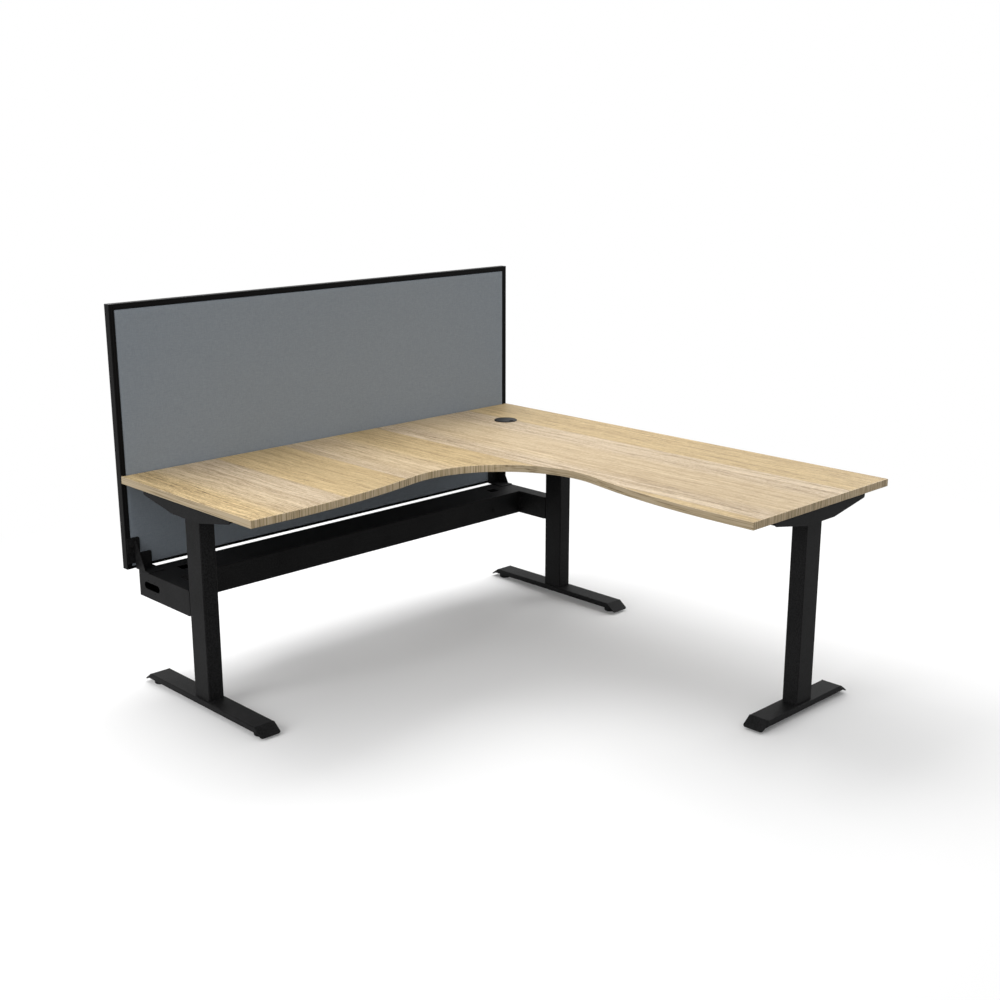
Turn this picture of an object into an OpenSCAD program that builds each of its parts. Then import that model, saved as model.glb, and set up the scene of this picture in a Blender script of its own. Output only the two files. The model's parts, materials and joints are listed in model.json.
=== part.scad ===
// Corner workstation: a wave-fronted worktop on three fixed legs, a cable beam behind the user's feet
// and a fabric screen that stands on the beam.
// +Z is up, +Y points from the user to the screen, and the return runs forward along -Y on the right.
// The origin is on the floor, under the middle of the whole workstation.

/* [Worktop] */
// Width of the worktop along the screen
run_w = 1800; // [1600:10:2200]
// Length of the return, from the back edge forward
return_len = 1800; // [1600:10:2200]
// Depth of the worktop at its waist, beside the corner
waist_d = 670; // [640:5:720]
// How much deeper the worktop is at its two free ends
wave_d = 80; // [40:5:120]
// Radius of the hollow corner where the user sits
corner_r = 350; // [250:10:400]
// Radius of the long sweep from each end to the waist
sweep_r = 2400; // [1800:50:3000]
// Height of the worktop's upper face above the floor
desk_h = 730; // [700:1:780]
// Thickness of the worktop
top_t = 25; // [22:1:30]
// Thickness of the plastic edging
band_t = 2; // [1:0.5:3]

/* [Cable grommet] */
// Distance of the grommet's centre from each back edge
grommet_inset = 245; // [200:5:300]
// Radius of the grommet's flange
flange_r = 45; // [43:1:50]
// Thickness of the flange above the worktop
flange_t = 2.5; // [2:0.5:4]
// Outer radius of the sleeve in the worktop
sleeve_r = 40; // [38:0.5:42]
// Wall of the sleeve
sleeve_wall = 3; // [2:0.5:4]
// Radius of the notch in the lid's rim
notch_r = 12; // [8:1:16]

/* [Legs] */
// Width of a column across its foot
col_w = 57; // [50:1:60]
// Width of a column along its foot
col_l = 84; // [70:1:90]
// Corner radius of a column
col_r = 4; // [3:0.5:6]
// Wall of a column
col_wall = 2.5; // [2:0.5:3]
// Distance of the left column's centre from the worktop's left end
left_inset = 61; // [56:1:90]
// Distance of the corner column's centre from the worktop's right side
corner_inset = 72; // [60:1:100]
// Distance of both rear columns' centres from the worktop's back edge
back_inset = 370; // [355:5:385]
// Distance of the return column's centre from the return's front end
return_inset = 59; // [56:1:90]
// Thickness of the plates that close a column's ends
cap_plate_t = 6; // [5:1:8]

/* [Feet] */
// Width of a foot
foot_w = 76; // [70:1:84]
// Height of a foot's upper face above the floor
foot_h = 37.5; // [36:0.5:42]
// Sheet thickness of a foot
foot_t = 3; // [2.5:0.5:4]
// Height of the foot's side skirts
skirt_h = 19; // [16:1:22]
// Level length of the left and corner feet
foot_len = 617; // [560:1:640]
// Level length of the return foot
return_foot_len = 413; // [360:1:440]
// Length of the sloped tongue at each end, measured on the slope
tongue_len = 47; // [40:1:50]
// Slope of the tongue below level, in degrees
tongue_slope = 36; // [30:1:38]
// Corner radius of the tongue
tongue_r = 9; // [6:1:12]

/* [Levelling glides] */
// Radius of a glide's pad
pad_r = 22; // [18:1:24]
// Height of a glide's pad
pad_h = 19; // [16:0.5:20]
// Radius of the threaded stem
stem_r = 4; // [3:0.5:5]
// Distance of a glide's centre from the end of the foot's level part
glide_inset = 12; // [10:1:30]
// Distance of a glide's centre from the foot's middle line
glide_side = 6; // [0:1:8]

/* [Top brackets] */
// Length of a top bracket
bracket_len = 500; // [440:5:560]
// Width of a top bracket
bracket_w = 102; // [96:1:112]
// Sheet thickness of a top bracket
bracket_t = 3; // [3:0.5:4]
// Depth of a top bracket at its middle
bracket_mid_h = 48; // [46:1:56]
// Depth of a top bracket at its ends
bracket_end_h = 17; // [14:1:22]
// Length of the level stretch under the bracket's middle
bracket_level = 150; // [150:5:170]

/* [Rails] */
// Height of a rail's tube
rail_h = 40; // [36:1:42]
// Width of a rail's tube
rail_w = 20; // [18:1:22]
// Wall of a rail's tube
rail_wall = 2; // [1.5:0.5:2.5]
// Distance of each rail from the middle line of its pair
rail_off = 50; // [48:1:52]
// Thickness of the plates welded to the rails' ends
rail_plate_t = 3; // [3:0.5:4]
// Width of those plates
rail_plate_w = 62; // [60:1:64]

/* [Cable beam] */
// Height of the beam's underside above the floor
beam_low = 311; // [280:1:320]
// Height of the beam
beam_h = 90; // [84:1:92]
// Depth of the beam's trunk
beam_d = 165; // [140:1:180]
// Distance of the beam's rear face from the worktop's back edge
beam_inset = 15; // [10:1:25]
// Width of the arms that join the beam to the columns
arm_w = 58; // [56:1:64]
// Sheet thickness of the beam
sheet_t = 2; // [1.5:0.5:2.5]
// Thickness of the flanges at the ends of the arms
arm_flange_t = 6; // [5:1:8]
// Length of the cable slot in each end of the beam
slot_len = 95; // [80:1:110]
// Height of the cable slot
slot_h = 25; // [20:1:28]
// Spacing of the four outlet screws round the slot, both ways
outlet_pitch = 40; // [36:1:44]
// Radius of the outlet screw holes
outlet_hole_r = 1.75; // [1.5:0.25:2.25]
// Side of the square cable holes in the beam's upper face
square_hole = 40; // [30:1:50]
// Distance of a square hole's centre from the beam's end
square_inset = 130; // [120:1:170]
// Distance of all these holes' centres from the beam's rear face
hole_inset = 80; // [70:1:90]

/* [Screen] */
// Height of the screen's lower edge above the floor
screen_low = 403; // [402:1:410]
// Height of the screen
screen_h = 898; // [700:1:1100]
// Depth of the screen's frame
screen_t = 28; // [26:1:32]
// Gap between the worktop's back edge and the screen
screen_gap = 3; // [3:0.5:5]
// Width of the frame's posts and top rail, seen from the front
frame_w = 19; // [17:1:22]
// Height of the frame's bottom rail
bottom_rail_h = 8; // [8:0.5:12]
// Thickness of the board inside the screen
core_t = 12; // [10:1:14]
// How far the fabric lies behind the frame's face
fabric_set = 0.5; // [0.2:0.1:1.5]

/* [Screen brackets] */
// Thickness of the screen brackets
stand_t = 3; // [2.5:0.5:3]
// Width of a bracket's base
stand_w = 61; // [56:1:70]
// Depth of a bracket's base in front of the worktop's back edge
stand_d = 79; // [70:1:90]
// Height of a bracket's tall part above the beam
stand_tall = 111; // [100:1:130]
// Height of a bracket's low part above the beam
stand_low = 54; // [46:1:60]
// Height at which the tall part's outer wing begins, above the beam
wing_low = 21; // [18:1:24]
// Distance of the wing's outer edge from the screen's end
wing_edge = 3; // [2:1:5]
// Width of the tall part beyond the beam's end face
tall_w = 19; // [17:1:24]
// Depth of the gusset at its foot
gusset_d = 56; // [50:1:62]
// Height of the gusset above the beam
gusset_h = 104; // [90:1:108]
// Corner radius of the upstand
stand_r = 8; // [6:1:10]

/* [Hidden] */

// Round shapes, overrun of cuts, and the gap of a part that slips into another
$fn = 64;
over = 1;
slip = 0.2;
// Gap round the grommet in its hole
sleeve_gap = 0.6;
// Running clearance round a moving stem, and the gap under a stop
run_gap = 0.05;
stop_gap = 0.3;

// Colours
oak = [0.74, 0.62, 0.46];
oak_edge = [0.66, 0.54, 0.38];
black_steel = [0.09, 0.09, 0.09];
black_frame = [0.06, 0.06, 0.06];
grey_cloth = [0.44, 0.46, 0.48];
board = [0.60, 0.52, 0.40];
zinc = [0.65, 0.66, 0.68];
black_plastic = [0.12, 0.12, 0.13];

// Plan of the whole workstation
total_d = return_len + screen_gap + screen_t;
x_left = -run_w / 2;
x_right = run_w / 2;
desk_front = -total_d / 2;
desk_back = desk_front + return_len;
screen_front = desk_back + screen_gap;
under_z = desk_h - top_t;

// The wave front: the sweep meets the corner's hollow where both have the same slope
end_d = waist_d + wave_d;
sweep_angle = acos(1 - wave_d / (corner_r + sweep_r));
hollow_x = x_right - waist_d - corner_r;
hollow_y = desk_back - waist_d - corner_r;
meet_x = hollow_x - corner_r * sin(sweep_angle);
meet_y = hollow_y + corner_r * cos(sweep_angle);
sweep_x = meet_x - sweep_r * sin(sweep_angle);

// Columns: [x, y] of each centre
left_leg = [x_left + left_inset, desk_back - back_inset];
corner_leg = [x_right - corner_inset, desk_back - back_inset];
return_leg = [x_right - end_d / 2, desk_front + return_inset];
column_top = under_z - bracket_t;
inner_w = col_w - 2 * col_wall;
inner_l = col_l - 2 * col_wall;

// Grommet
grommet_x = x_right - grommet_inset;
grommet_y = desk_back - grommet_inset;
sleeve_bore_r = sleeve_r - sleeve_wall;
sleeve_drop = 22;
ledge_w = 2.5;
ledge_t = 2;
ledge_r = sleeve_bore_r - ledge_w;
lid_t = 3;
lid_gap = 0.4;
lid_r = sleeve_bore_r - lid_gap;
lid_z = desk_h + flange_t - lid_t;
flange_edge_r = 1.5;

// Glides and the threaded bushes that hold them
glide_off = foot_len / 2 - glide_inset;
return_glide_off = return_foot_len / 2 - glide_inset;
pad_edge_r = 4;
bush_r = 9;
foot_under = foot_h - foot_t;

// The feet's skirts reach past the folds, under the tongues, and end this far short of them
skirt_gap = 5;
skirt_reach = (skirt_h - foot_t / cos(tongue_slope)) / tan(tongue_slope) - skirt_gap;

// Inner radius of every fold
bend_in = 1;

// Fasteners, as the shank's radius and the head's radius and height
m8_r = 4;
m8_head_r = 7.5;
m8_head_h = 5.3;
m6_r = 3;
m6_head_r = 5.8;
m6_head_h = 4;
m6_nut_h = 5;
sunk_r = 6;
wood_r = 2.5;
wood_head_r = 4.5;
wood_head_h = 3;
wood_len = 19;
m4_r = 2;
m4_head_r = 3.8;
m4_head_h = 2.2;
thread_past = 3;
clear_gap = 0.4;
foot_bolt_x = 17;
foot_bolt_y = 28;
bracket_bolt_x = 15;
bracket_bolt_y = 26;
top_screw_x = 30;
top_screw_y = 150;
bracket_chamfer = 4;

// Rails
rail_z = under_z - rail_h / 2;
rail_bolt_off = 22;
main_rail_x0 = left_leg[0] + bracket_w / 2;
main_rail_x1 = corner_leg[0] - bracket_w / 2;
front_rail_y = left_leg[1] - rail_off;
return_rail_y0 = return_leg[1] + bracket_w / 2;
return_rail_y1 = front_rail_y - rail_w / 2;

// Cable beam
beam_x0 = left_leg[0] - col_w / 2;
beam_x1 = corner_leg[0] + col_w / 2;
beam_rear = desk_back - beam_inset;
beam_fore = beam_rear - beam_d;
beam_high = beam_low + beam_h;
beam_mid = beam_low + beam_h / 2;
column_rear = left_leg[1] + col_l / 2;
arm_end = column_rear + arm_flange_t;
cable_hole_y = beam_rear - hole_inset;
lip_h = 16;
cover_screws = 4;
cover_screw_inset = 60;
arm_bolt_z = 25;
flange_corner_r = 6;
strip_w = 30;
strip_h = 80;
strip_t = 6;
tab_w = 3;
tab_d = 3;
tab_h = 17;
tab_inset = 209;
tab_low = 28;

// Screen brackets
base_bolt_x = [20, 46];
base_bolt_y = 42;
wing_out = left_inset - col_w / 2 - wing_edge;
wing_screw_in = 12;
wing_screw_z = [40, 92];
low_screw_x = 44;
low_screw_z = 30;
screen_screw_head_r = 5;
screen_screw_len = 20;

// Screen
screen_high = screen_low + screen_h;
channel_d = 8;
bottom_channel_d = 5;
fit_gap = 0.3;
groove_w = 1.6;
groove_d = 1.0;
groove_at = [6, 14];
chamber_w = 5;
chamber_margin = 3;
screen_cap_t = 2;
pad_back = (screen_t - core_t) / 2;
frame_edge_r = 1;

// A rectangle with round corners, centred
module round_rect(w, d, r) {
    square([w - 2 * r, d], center = true);
    square([w, d - 2 * r], center = true);
    for (sx = [-1, 1], sy = [-1, 1]) translate([sx * (w / 2 - r), sy * (d / 2 - r)]) circle(r);
}

// A rectangle on the line y = 0 with its two upper corners round
module round_top(w, h, r) {
    translate([-w / 2, 0]) square([w, h - r]);
    translate([-w / 2 + r, 0]) square([w - 2 * r, h]);
    for (s = [-1, 1]) translate([s * (w / 2 - r), h - r]) circle(r);
}

// A folded channel, open below, with its upper face at z = 0 and its length along Y
module channel(w, h, t, length) {
    translate([0, 0, -h]) rotate([90, 0, 0]) linear_extrude(length, center = true) difference() {
        round_top(w, h, t + bend_in);
        translate([0, -over]) round_top(w - 2 * t, h - t + over, bend_in);
    }
}

// Places a leg's pieces: the foot lies along local Y, and local +X faces the rails
module at_left() translate([left_leg[0], left_leg[1], 0]) children();
module at_corner() translate([corner_leg[0], corner_leg[1], 0]) rotate([0, 0, 180]) children();
module at_return() translate([return_leg[0], return_leg[1], 0]) rotate([0, 0, 90]) children();

// Four places on a rectangle
module four(x, y) for (sx = [-1, 1], sy = [-1, 1]) translate([sx * x, sy * y, 0]) children();

// Hexagon bolt with its head below z = 0 and its shank upward
module hex_bolt(r, head_r, head_h, length) {
    translate([0, 0, -head_h]) cylinder(r = head_r, h = head_h, $fn = 6);
    cylinder(r = r, h = length);
}

// Countersunk bolt with its flat head at z = 0 and its shank downward
module sunk_bolt(r, head_r, length) {
    translate([0, 0, r - head_r]) cylinder(r1 = r, r2 = head_r, h = head_r - r);
    translate([0, 0, -length]) cylinder(r = r, h = length);
}

// The hole that takes such a bolt through a sheet
module sunk_hole(r, head_r, depth) {
    translate([0, 0, r - head_r]) cylinder(r1 = r + slip, r2 = head_r + slip, h = head_r - r);
    cylinder(r = head_r + slip, h = over);
    translate([0, 0, -depth - over]) cylinder(r = r + slip, h = depth + over);
}

// The part of the left arm that the sweep takes away, up to the hollow
module sweep_cut(inset) {
    low_y = desk_back - end_d - over;
    high_y = meet_y + inset * cos(sweep_angle);
    difference() {
        translate([sweep_x, low_y]) square([hollow_x - sweep_x, high_y - low_y]);
        translate([sweep_x, desk_back - end_d + sweep_r]) circle(sweep_r - inset);
    }
}

// Turns a shape over the plan's diagonal, from the left arm to the return
module swap_arms() {
    translate([x_right, desk_back]) rotate(-90) mirror([1, 0]) translate([-x_right, -desk_back]) children();
}

// Plan of the worktop, drawn in by an inset
module worktop_plan(inset) {
    difference() {
        union() {
            translate([x_left + inset, desk_back - end_d + inset])
                square([run_w - 2 * inset, end_d - 2 * inset]);
            translate([x_right - end_d + inset, desk_front + inset])
                square([end_d - 2 * inset, return_len - 2 * inset]);
            translate([hollow_x, hollow_y]) square(corner_r + 2 * band_t);
        }
        translate([hollow_x, hollow_y]) circle(corner_r + inset);
        sweep_cut(inset);
        swap_arms() sweep_cut(inset);
    }
}

module top_screw_places() {
    at_left() four(top_screw_x, top_screw_y) children();
    at_corner() four(top_screw_x, top_screw_y) children();
    at_return() four(top_screw_x, top_screw_y) children();
}

module worktop() {
    color(oak) difference() {
        translate([0, 0, under_z]) linear_extrude(top_t) worktop_plan(band_t);
        translate([grommet_x, grommet_y, under_z - over])
            cylinder(r = sleeve_r + sleeve_gap, h = top_t + 2 * over);
        translate([0, 0, under_z - over]) top_screw_places()
            cylinder(r = wood_r + run_gap, h = over + wood_len - bracket_t + slip);
    }
}

module edge_band() {
    color(oak_edge) translate([0, 0, under_z]) linear_extrude(top_t) difference() {
        worktop_plan(0);
        worktop_plan(band_t);
    }
}

module grommet_sleeve() {
    ledge_z = lid_z - slip;
    low_z = desk_h - sleeve_drop;
    color(black_plastic) translate([grommet_x, grommet_y, 0]) difference() {
        union() {
            translate([0, 0, low_z]) cylinder(r = sleeve_r, h = sleeve_drop);
            translate([0, 0, desk_h]) rotate_extrude() {
                square([flange_r - flange_edge_r, flange_t]);
                square([flange_r, flange_t - flange_edge_r]);
                intersection() {
                    translate([flange_r - flange_edge_r, flange_t - flange_edge_r]) circle(flange_edge_r);
                    square([flange_r, flange_t]);
                }
            }
        }
        translate([0, 0, low_z - over]) cylinder(r = sleeve_bore_r, h = ledge_z - ledge_t - low_z + over);
        translate([0, 0, low_z - over]) cylinder(r = ledge_r, h = ledge_z - low_z + 2 * over);
        translate([0, 0, ledge_z]) cylinder(r = sleeve_bore_r, h = lid_t + over);
    }
}

module grommet_lid() {
    color(black_plastic) translate([grommet_x, grommet_y, lid_z]) difference() {
        cylinder(r = lid_r, h = lid_t);
        translate([0, -lid_r, -over]) cylinder(r = notch_r, h = lid_t + 2 * over);
    }
}

// The sloped tongue at one end of a foot, with its upper face on the foot's
module foot_tongue(level) {
    translate([0, level / 2, foot_h]) rotate([-tongue_slope, 0, 0]) translate([0, 0, -foot_t])
        linear_extrude(foot_t) {
            translate([-foot_w / 2, 0]) square([foot_w, tongue_len - tongue_r]);
            translate([-foot_w / 2 + tongue_r, 0]) square([foot_w - 2 * tongue_r, tongue_len]);
            for (s = [-1, 1]) translate([s * (foot_w / 2 - tongue_r), tongue_len - tongue_r]) circle(tongue_r);
        }
}

module foot(level) {
    color(black_steel) difference() {
        union() {
            intersection() {
                translate([0, 0, foot_h]) channel(foot_w, skirt_h, foot_t, level + 2 * skirt_reach);
                rotate([90, 0, 90]) linear_extrude(foot_w, center = true) polygon([
                    [-level / 2, foot_h], [-level / 2, foot_under], [-level / 2 - skirt_reach, foot_h - skirt_h],
                    [level / 2 + skirt_reach, foot_h - skirt_h], [level / 2, foot_under], [level / 2, foot_h]]);
            }
            foot_tongue(level);
            mirror([0, 1, 0]) foot_tongue(level);
        }
        four(foot_bolt_x, foot_bolt_y) translate([0, 0, foot_under - over])
            cylinder(r = m8_r + clear_gap, h = foot_t + 2 * over);
    }
}

// arm_side is 1 or -1 where a beam's arm is bolted on, along local Y, and 0 where none is
module column(arm_side) {
    color(black_steel) difference() {
        translate([0, 0, foot_h]) linear_extrude(column_top - foot_h) difference() {
            round_rect(col_w, col_l, col_r);
            round_rect(inner_w, inner_l, col_r - col_wall);
        }
        if (arm_side != 0) for (s = [-1, 1]) translate([0, arm_side * col_l / 2, beam_mid + s * arm_bolt_z])
            rotate([90, 0, 0]) cylinder(r = m8_r + clear_gap, h = 2 * (col_wall + over), center = true);
    }
}

// A plate inside a column's end, tapped for four bolts
module end_plate(z, bolt_x, bolt_y, bolt_r) {
    translate([0, 0, z]) difference() {
        linear_extrude(cap_plate_t) round_rect(inner_w, inner_l, col_r - col_wall);
        four(bolt_x, bolt_y) translate([0, 0, -over])
            cylinder(r = bolt_r + run_gap, h = cap_plate_t + 2 * over);
    }
}

module end_plates() {
    color(black_steel) {
        end_plate(foot_h, foot_bolt_x, foot_bolt_y, m8_r);
        end_plate(column_top - cap_plate_t, bracket_bolt_x, bracket_bolt_y, m6_r);
    }
}

module top_bracket() {
    half = bracket_len / 2;
    mid_z = under_z - bracket_mid_h;
    end_z = under_z - bracket_end_h;
    color(black_steel) difference() {
        union() {
            intersection() {
                translate([0, 0, under_z]) channel(bracket_w, bracket_mid_h, bracket_t, bracket_len);
                rotate([90, 0, 90]) linear_extrude(bracket_w, center = true) polygon([
                    [-half, under_z], [-half, end_z + bracket_chamfer], [bracket_chamfer - half, end_z],
                    [-bracket_level / 2, mid_z], [bracket_level / 2, mid_z],
                    [half - bracket_chamfer, end_z], [half, end_z + bracket_chamfer], [half, under_z]]);
            }
            for (s = [-1, 1])
                translate([-bracket_w / 2 + bracket_t, s * (half - bracket_t / 2) - bracket_t / 2,
                    end_z + bracket_chamfer])
                    cube([bracket_w - 2 * bracket_t, bracket_t,
                        bracket_end_h - bracket_chamfer - bracket_t / 2]);
        }
        four(bracket_bolt_x, bracket_bolt_y) translate([0, 0, under_z]) sunk_hole(m6_r, sunk_r, bracket_t);
        four(top_screw_x, top_screw_y) translate([0, 0, under_z - bracket_t - over])
            cylinder(r = wood_r + clear_gap, h = bracket_t + 2 * over);
        for (s = [-1, 1], q = [-1, 1]) translate([bracket_w / 2, s * rail_off + q * rail_bolt_off, rail_z])
            rotate([0, 90, 0]) cylinder(r = m6_r + clear_gap, h = 2 * (bracket_t + over), center = true);
    }
}

module foot_bolts() {
    color(zinc) four(foot_bolt_x, foot_bolt_y) translate([0, 0, foot_under])
        hex_bolt(m8_r, m8_head_r, m8_head_h, foot_t + cap_plate_t + thread_past);
}

module bracket_bolts() {
    color(zinc) four(bracket_bolt_x, bracket_bolt_y) translate([0, 0, under_z])
        sunk_bolt(m6_r, sunk_r, bracket_t + cap_plate_t + thread_past);
}

// One glide under a foot, off its column by a distance along local Y, on local +X or -X
module glide(side, off) {
    color(black_plastic) translate([side * glide_side, off, 0]) {
        rotate_extrude() {
            square([pad_r - pad_edge_r, pad_h]);
            translate([0, pad_edge_r]) square([pad_r, pad_h - pad_edge_r]);
            translate([pad_r - pad_edge_r, pad_edge_r]) circle(pad_edge_r);
        }
        cylinder(r = stem_r, h = foot_under - stop_gap);
    }
}

module glide_bush(side, off) {
    translate([side * glide_side, off, pad_h + stop_gap]) difference() {
        cylinder(r = bush_r, h = foot_under - pad_h - stop_gap);
        translate([0, 0, -over]) cylinder(r = stem_r + run_gap, h = foot_under - pad_h + 2 * over);
    }
}

module glide_bushes() {
    color(zinc) for (s = [-1, 1]) {
        at_left() glide_bush(-1, s * glide_off);
        at_corner() glide_bush(1, s * glide_off);
        at_return() glide_bush(1, s * return_glide_off);
    }
}

// A rail's tube along X from 0 to its length, with its upper face under the worktop
module rail_tube(length) {
    translate([0, 0, rail_z]) rotate([90, 0, 90]) linear_extrude(length) difference() {
        square([rail_w, rail_h], center = true);
        square([rail_w - 2 * rail_wall, rail_h - 2 * rail_wall], center = true);
    }
}

// A rail's end plate, centred on the rail and thick from x = 0 along +X
module rail_plate() {
    difference() {
        translate([0, -rail_plate_w / 2, rail_z - rail_h / 2]) cube([rail_plate_t, rail_plate_w, rail_h]);
        for (s = [-1, 1]) translate([-over, s * rail_bolt_off, rail_z]) rotate([0, 90, 0])
            cylinder(r = m6_r + clear_gap, h = rail_plate_t + 2 * over);
    }
}

// A bolt along +X through two sheets whose joint is at x = 0, with its nut past the far sheet
module rail_bolt(near_t, far_t) {
    translate([-near_t, 0, rail_z]) rotate([0, 90, 0])
        hex_bolt(m6_r, m6_head_r, m6_head_h, near_t + far_t + m6_nut_h + thread_past);
    translate([far_t, 0, rail_z]) rotate([0, 90, 0]) difference() {
        cylinder(r = m6_head_r, h = m6_nut_h, $fn = 6);
        translate([0, 0, -over]) cylinder(r = m6_r + run_gap, h = m6_nut_h + 2 * over);
    }
}

module main_rail(side) {
    length = main_rail_x1 - main_rail_x0 - 2 * rail_plate_t;
    color(black_steel) difference() {
        translate([main_rail_x0 + rail_plate_t, left_leg[1] + side * rail_off, 0]) rail_tube(length);
        if (side < 0) for (s = [-1, 1], q = [-1, 1])
            translate([return_leg[0] + s * rail_off + q * rail_bolt_off, front_rail_y, rail_z])
                rotate([90, 0, 0]) cylinder(r = m6_r + clear_gap, h = rail_w + 2 * over, center = true);
    }
}

module return_rail(side) {
    length = return_rail_y1 - return_rail_y0 - 2 * rail_plate_t;
    color(black_steel) translate([return_leg[0] + side * rail_off, return_rail_y0 + rail_plate_t, 0])
        rotate([0, 0, 90]) rail_tube(length);
}

module main_rail_plates() {
    color(black_steel) for (s = [-1, 1]) {
        translate([main_rail_x0, left_leg[1] + s * rail_off, 0]) rail_plate();
        translate([main_rail_x1 - rail_plate_t, left_leg[1] + s * rail_off, 0]) rail_plate();
    }
}

module return_rail_plates() {
    color(black_steel) for (s = [-1, 1]) translate([return_leg[0] + s * rail_off, 0, 0]) rotate([0, 0, 90]) {
        translate([return_rail_y0, 0, 0]) rail_plate();
        translate([return_rail_y1 - rail_plate_t, 0, 0]) rail_plate();
    }
}

module main_rail_bolts() {
    color(zinc) for (s = [-1, 1], q = [-1, 1]) {
        translate([main_rail_x0, left_leg[1] + s * rail_off + q * rail_bolt_off, 0])
            rail_bolt(bracket_t, rail_plate_t);
        translate([main_rail_x1, left_leg[1] + s * rail_off + q * rail_bolt_off, 0]) rotate([0, 0, 180])
            rail_bolt(bracket_t, rail_plate_t);
    }
}

module return_rail_bolts() {
    color(zinc) for (s = [-1, 1], q = [-1, 1])
        translate([return_leg[0] + s * rail_off + q * rail_bolt_off, 0, 0]) rotate([0, 0, 90]) {
            translate([return_rail_y0, 0, 0]) rail_bolt(bracket_t, rail_plate_t);
            translate([return_rail_y1, 0, 0]) rail_bolt(rail_plate_t, rail_w);
        }
}

module top_screws() {
    color(zinc) translate([0, 0, under_z - bracket_t]) top_screw_places() {
        translate([0, 0, -wood_head_h]) cylinder(r = wood_head_r, h = wood_head_h);
        cylinder(r = wood_r, h = wood_len);
    }
}

// Plan of the beam's upper and lower sheets: the trunk and the two arms
module beam_plan() {
    translate([beam_x0, beam_fore]) square([beam_x1 - beam_x0, beam_d]);
    for (x = [beam_x0, beam_x1 - arm_w]) translate([x, arm_end]) square([arm_w, beam_fore - arm_end + over]);
}

// A lip inside the beam's rear edge, which the cover is screwed to
module beam_lip(z) {
    translate([beam_x0 + sheet_t, beam_rear - 2 * sheet_t, z])
        cube([beam_x1 - beam_x0 - 2 * sheet_t, sheet_t, lip_h]);
}

// Places along the lip, of each of the cover's screws
module cover_screw_places() {
    span = beam_x1 - beam_x0 - 2 * cover_screw_inset;
    for (i = [0 : cover_screws - 1], z = [beam_low + sheet_t + lip_h / 2, beam_high - sheet_t - lip_h / 2])
        translate([beam_x0 + cover_screw_inset + i * span / (cover_screws - 1), beam_rear, z])
            rotate([90, 0, 0]) children();
}

module cover_screw_holes() {
    cover_screw_places() translate([0, 0, -over]) cylinder(r = m4_r + slip, h = 2 * sheet_t + 2 * over);
}

// Places of the two bolts through each screen bracket's base
module base_bolt_places() {
    for (x = base_bolt_x) {
        translate([beam_x0 + x, desk_back - base_bolt_y, beam_high]) children();
        translate([beam_x1 - x, desk_back - base_bolt_y, beam_high]) children();
    }
}

module beam_top() {
    color(black_steel) difference() {
        union() {
            translate([0, 0, beam_high - sheet_t]) linear_extrude(sheet_t) difference() {
                beam_plan();
                for (x = [beam_x0 + square_inset, beam_x1 - square_inset]) translate([x, cable_hole_y])
                    square(square_hole, center = true);
            }
            beam_lip(beam_high - sheet_t - lip_h);
        }
        base_bolt_places() translate([0, 0, -sheet_t - over])
            cylinder(r = m6_r + slip, h = sheet_t + 2 * over);
        cover_screw_holes();
    }
}

module beam_bottom() {
    color(black_steel) difference() {
        union() {
            translate([0, 0, beam_low]) linear_extrude(sheet_t) beam_plan();
            beam_lip(beam_low + sheet_t);
        }
        cover_screw_holes();
    }
}

// The inner wall: the trunk's face towards the user and the arms' inner sides
module beam_front() {
    color(black_steel) {
        translate([0, 0, beam_low + sheet_t]) linear_extrude(beam_h - 2 * sheet_t) {
            translate([beam_x0 + arm_w - sheet_t, beam_fore])
                square([beam_x1 - beam_x0 - 2 * arm_w + 2 * sheet_t, sheet_t]);
            for (x = [beam_x0 + arm_w - sheet_t, beam_x1 - arm_w]) translate([x, arm_end])
                square([sheet_t, beam_fore - arm_end + over]);
        }
        translate([beam_x1 - tab_inset, beam_fore - tab_d, beam_low + tab_low])
            cube([tab_w, tab_d + over, tab_h]);
    }
}

// An end wall with its cable slot and the four holes for an outlet
module beam_end(x) {
    color(black_steel) difference() {
        translate([x, arm_end, beam_low + sheet_t]) cube([sheet_t, beam_rear - arm_end, beam_h - 2 * sheet_t]);
        translate([x - over, cable_hole_y, beam_mid]) rotate([90, 0, 90]) linear_extrude(sheet_t + 2 * over) {
            square([slot_len - slot_h, slot_h], center = true);
            for (s = [-1, 1]) translate([s * (slot_len - slot_h) / 2, 0]) circle(slot_h / 2);
            for (s = [-1, 1], q = [-1, 1]) translate([s * outlet_pitch / 2, q * outlet_pitch / 2])
                circle(outlet_hole_r);
        }
    }
}

module beam_rear_cover() {
    color(black_steel) difference() {
        translate([beam_x0 + sheet_t, beam_rear - sheet_t, beam_low + sheet_t])
            cube([beam_x1 - beam_x0 - 2 * sheet_t, sheet_t, beam_h - 2 * sheet_t]);
        cover_screw_holes();
    }
}

module beam_cover_screws() {
    color(zinc) cover_screw_places() {
        translate([0, 0, -m4_head_h]) cylinder(r = m4_head_r, h = m4_head_h);
        cylinder(r = m4_r, h = 2 * sheet_t + thread_past);
    }
}

// Places of the two bolts through each arm's flange, at the column's rear face
module arm_bolt_places() {
    for (x = [left_leg[0], corner_leg[0]], s = [-1, 1]) translate([x, column_rear, beam_mid + s * arm_bolt_z])
        rotate([90, 0, 0]) children();
}

module beam_flanges() {
    color(black_steel) difference() {
        for (x = [beam_x0 + arm_w / 2, beam_x1 - arm_w / 2]) translate([x, arm_end, beam_mid])
            rotate([90, 0, 0]) linear_extrude(arm_flange_t) round_rect(arm_w, beam_h, flange_corner_r);
        arm_bolt_places() translate([0, 0, -arm_flange_t - over])
            cylinder(r = m8_r + clear_gap, h = arm_flange_t + 2 * over);
    }
}

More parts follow.
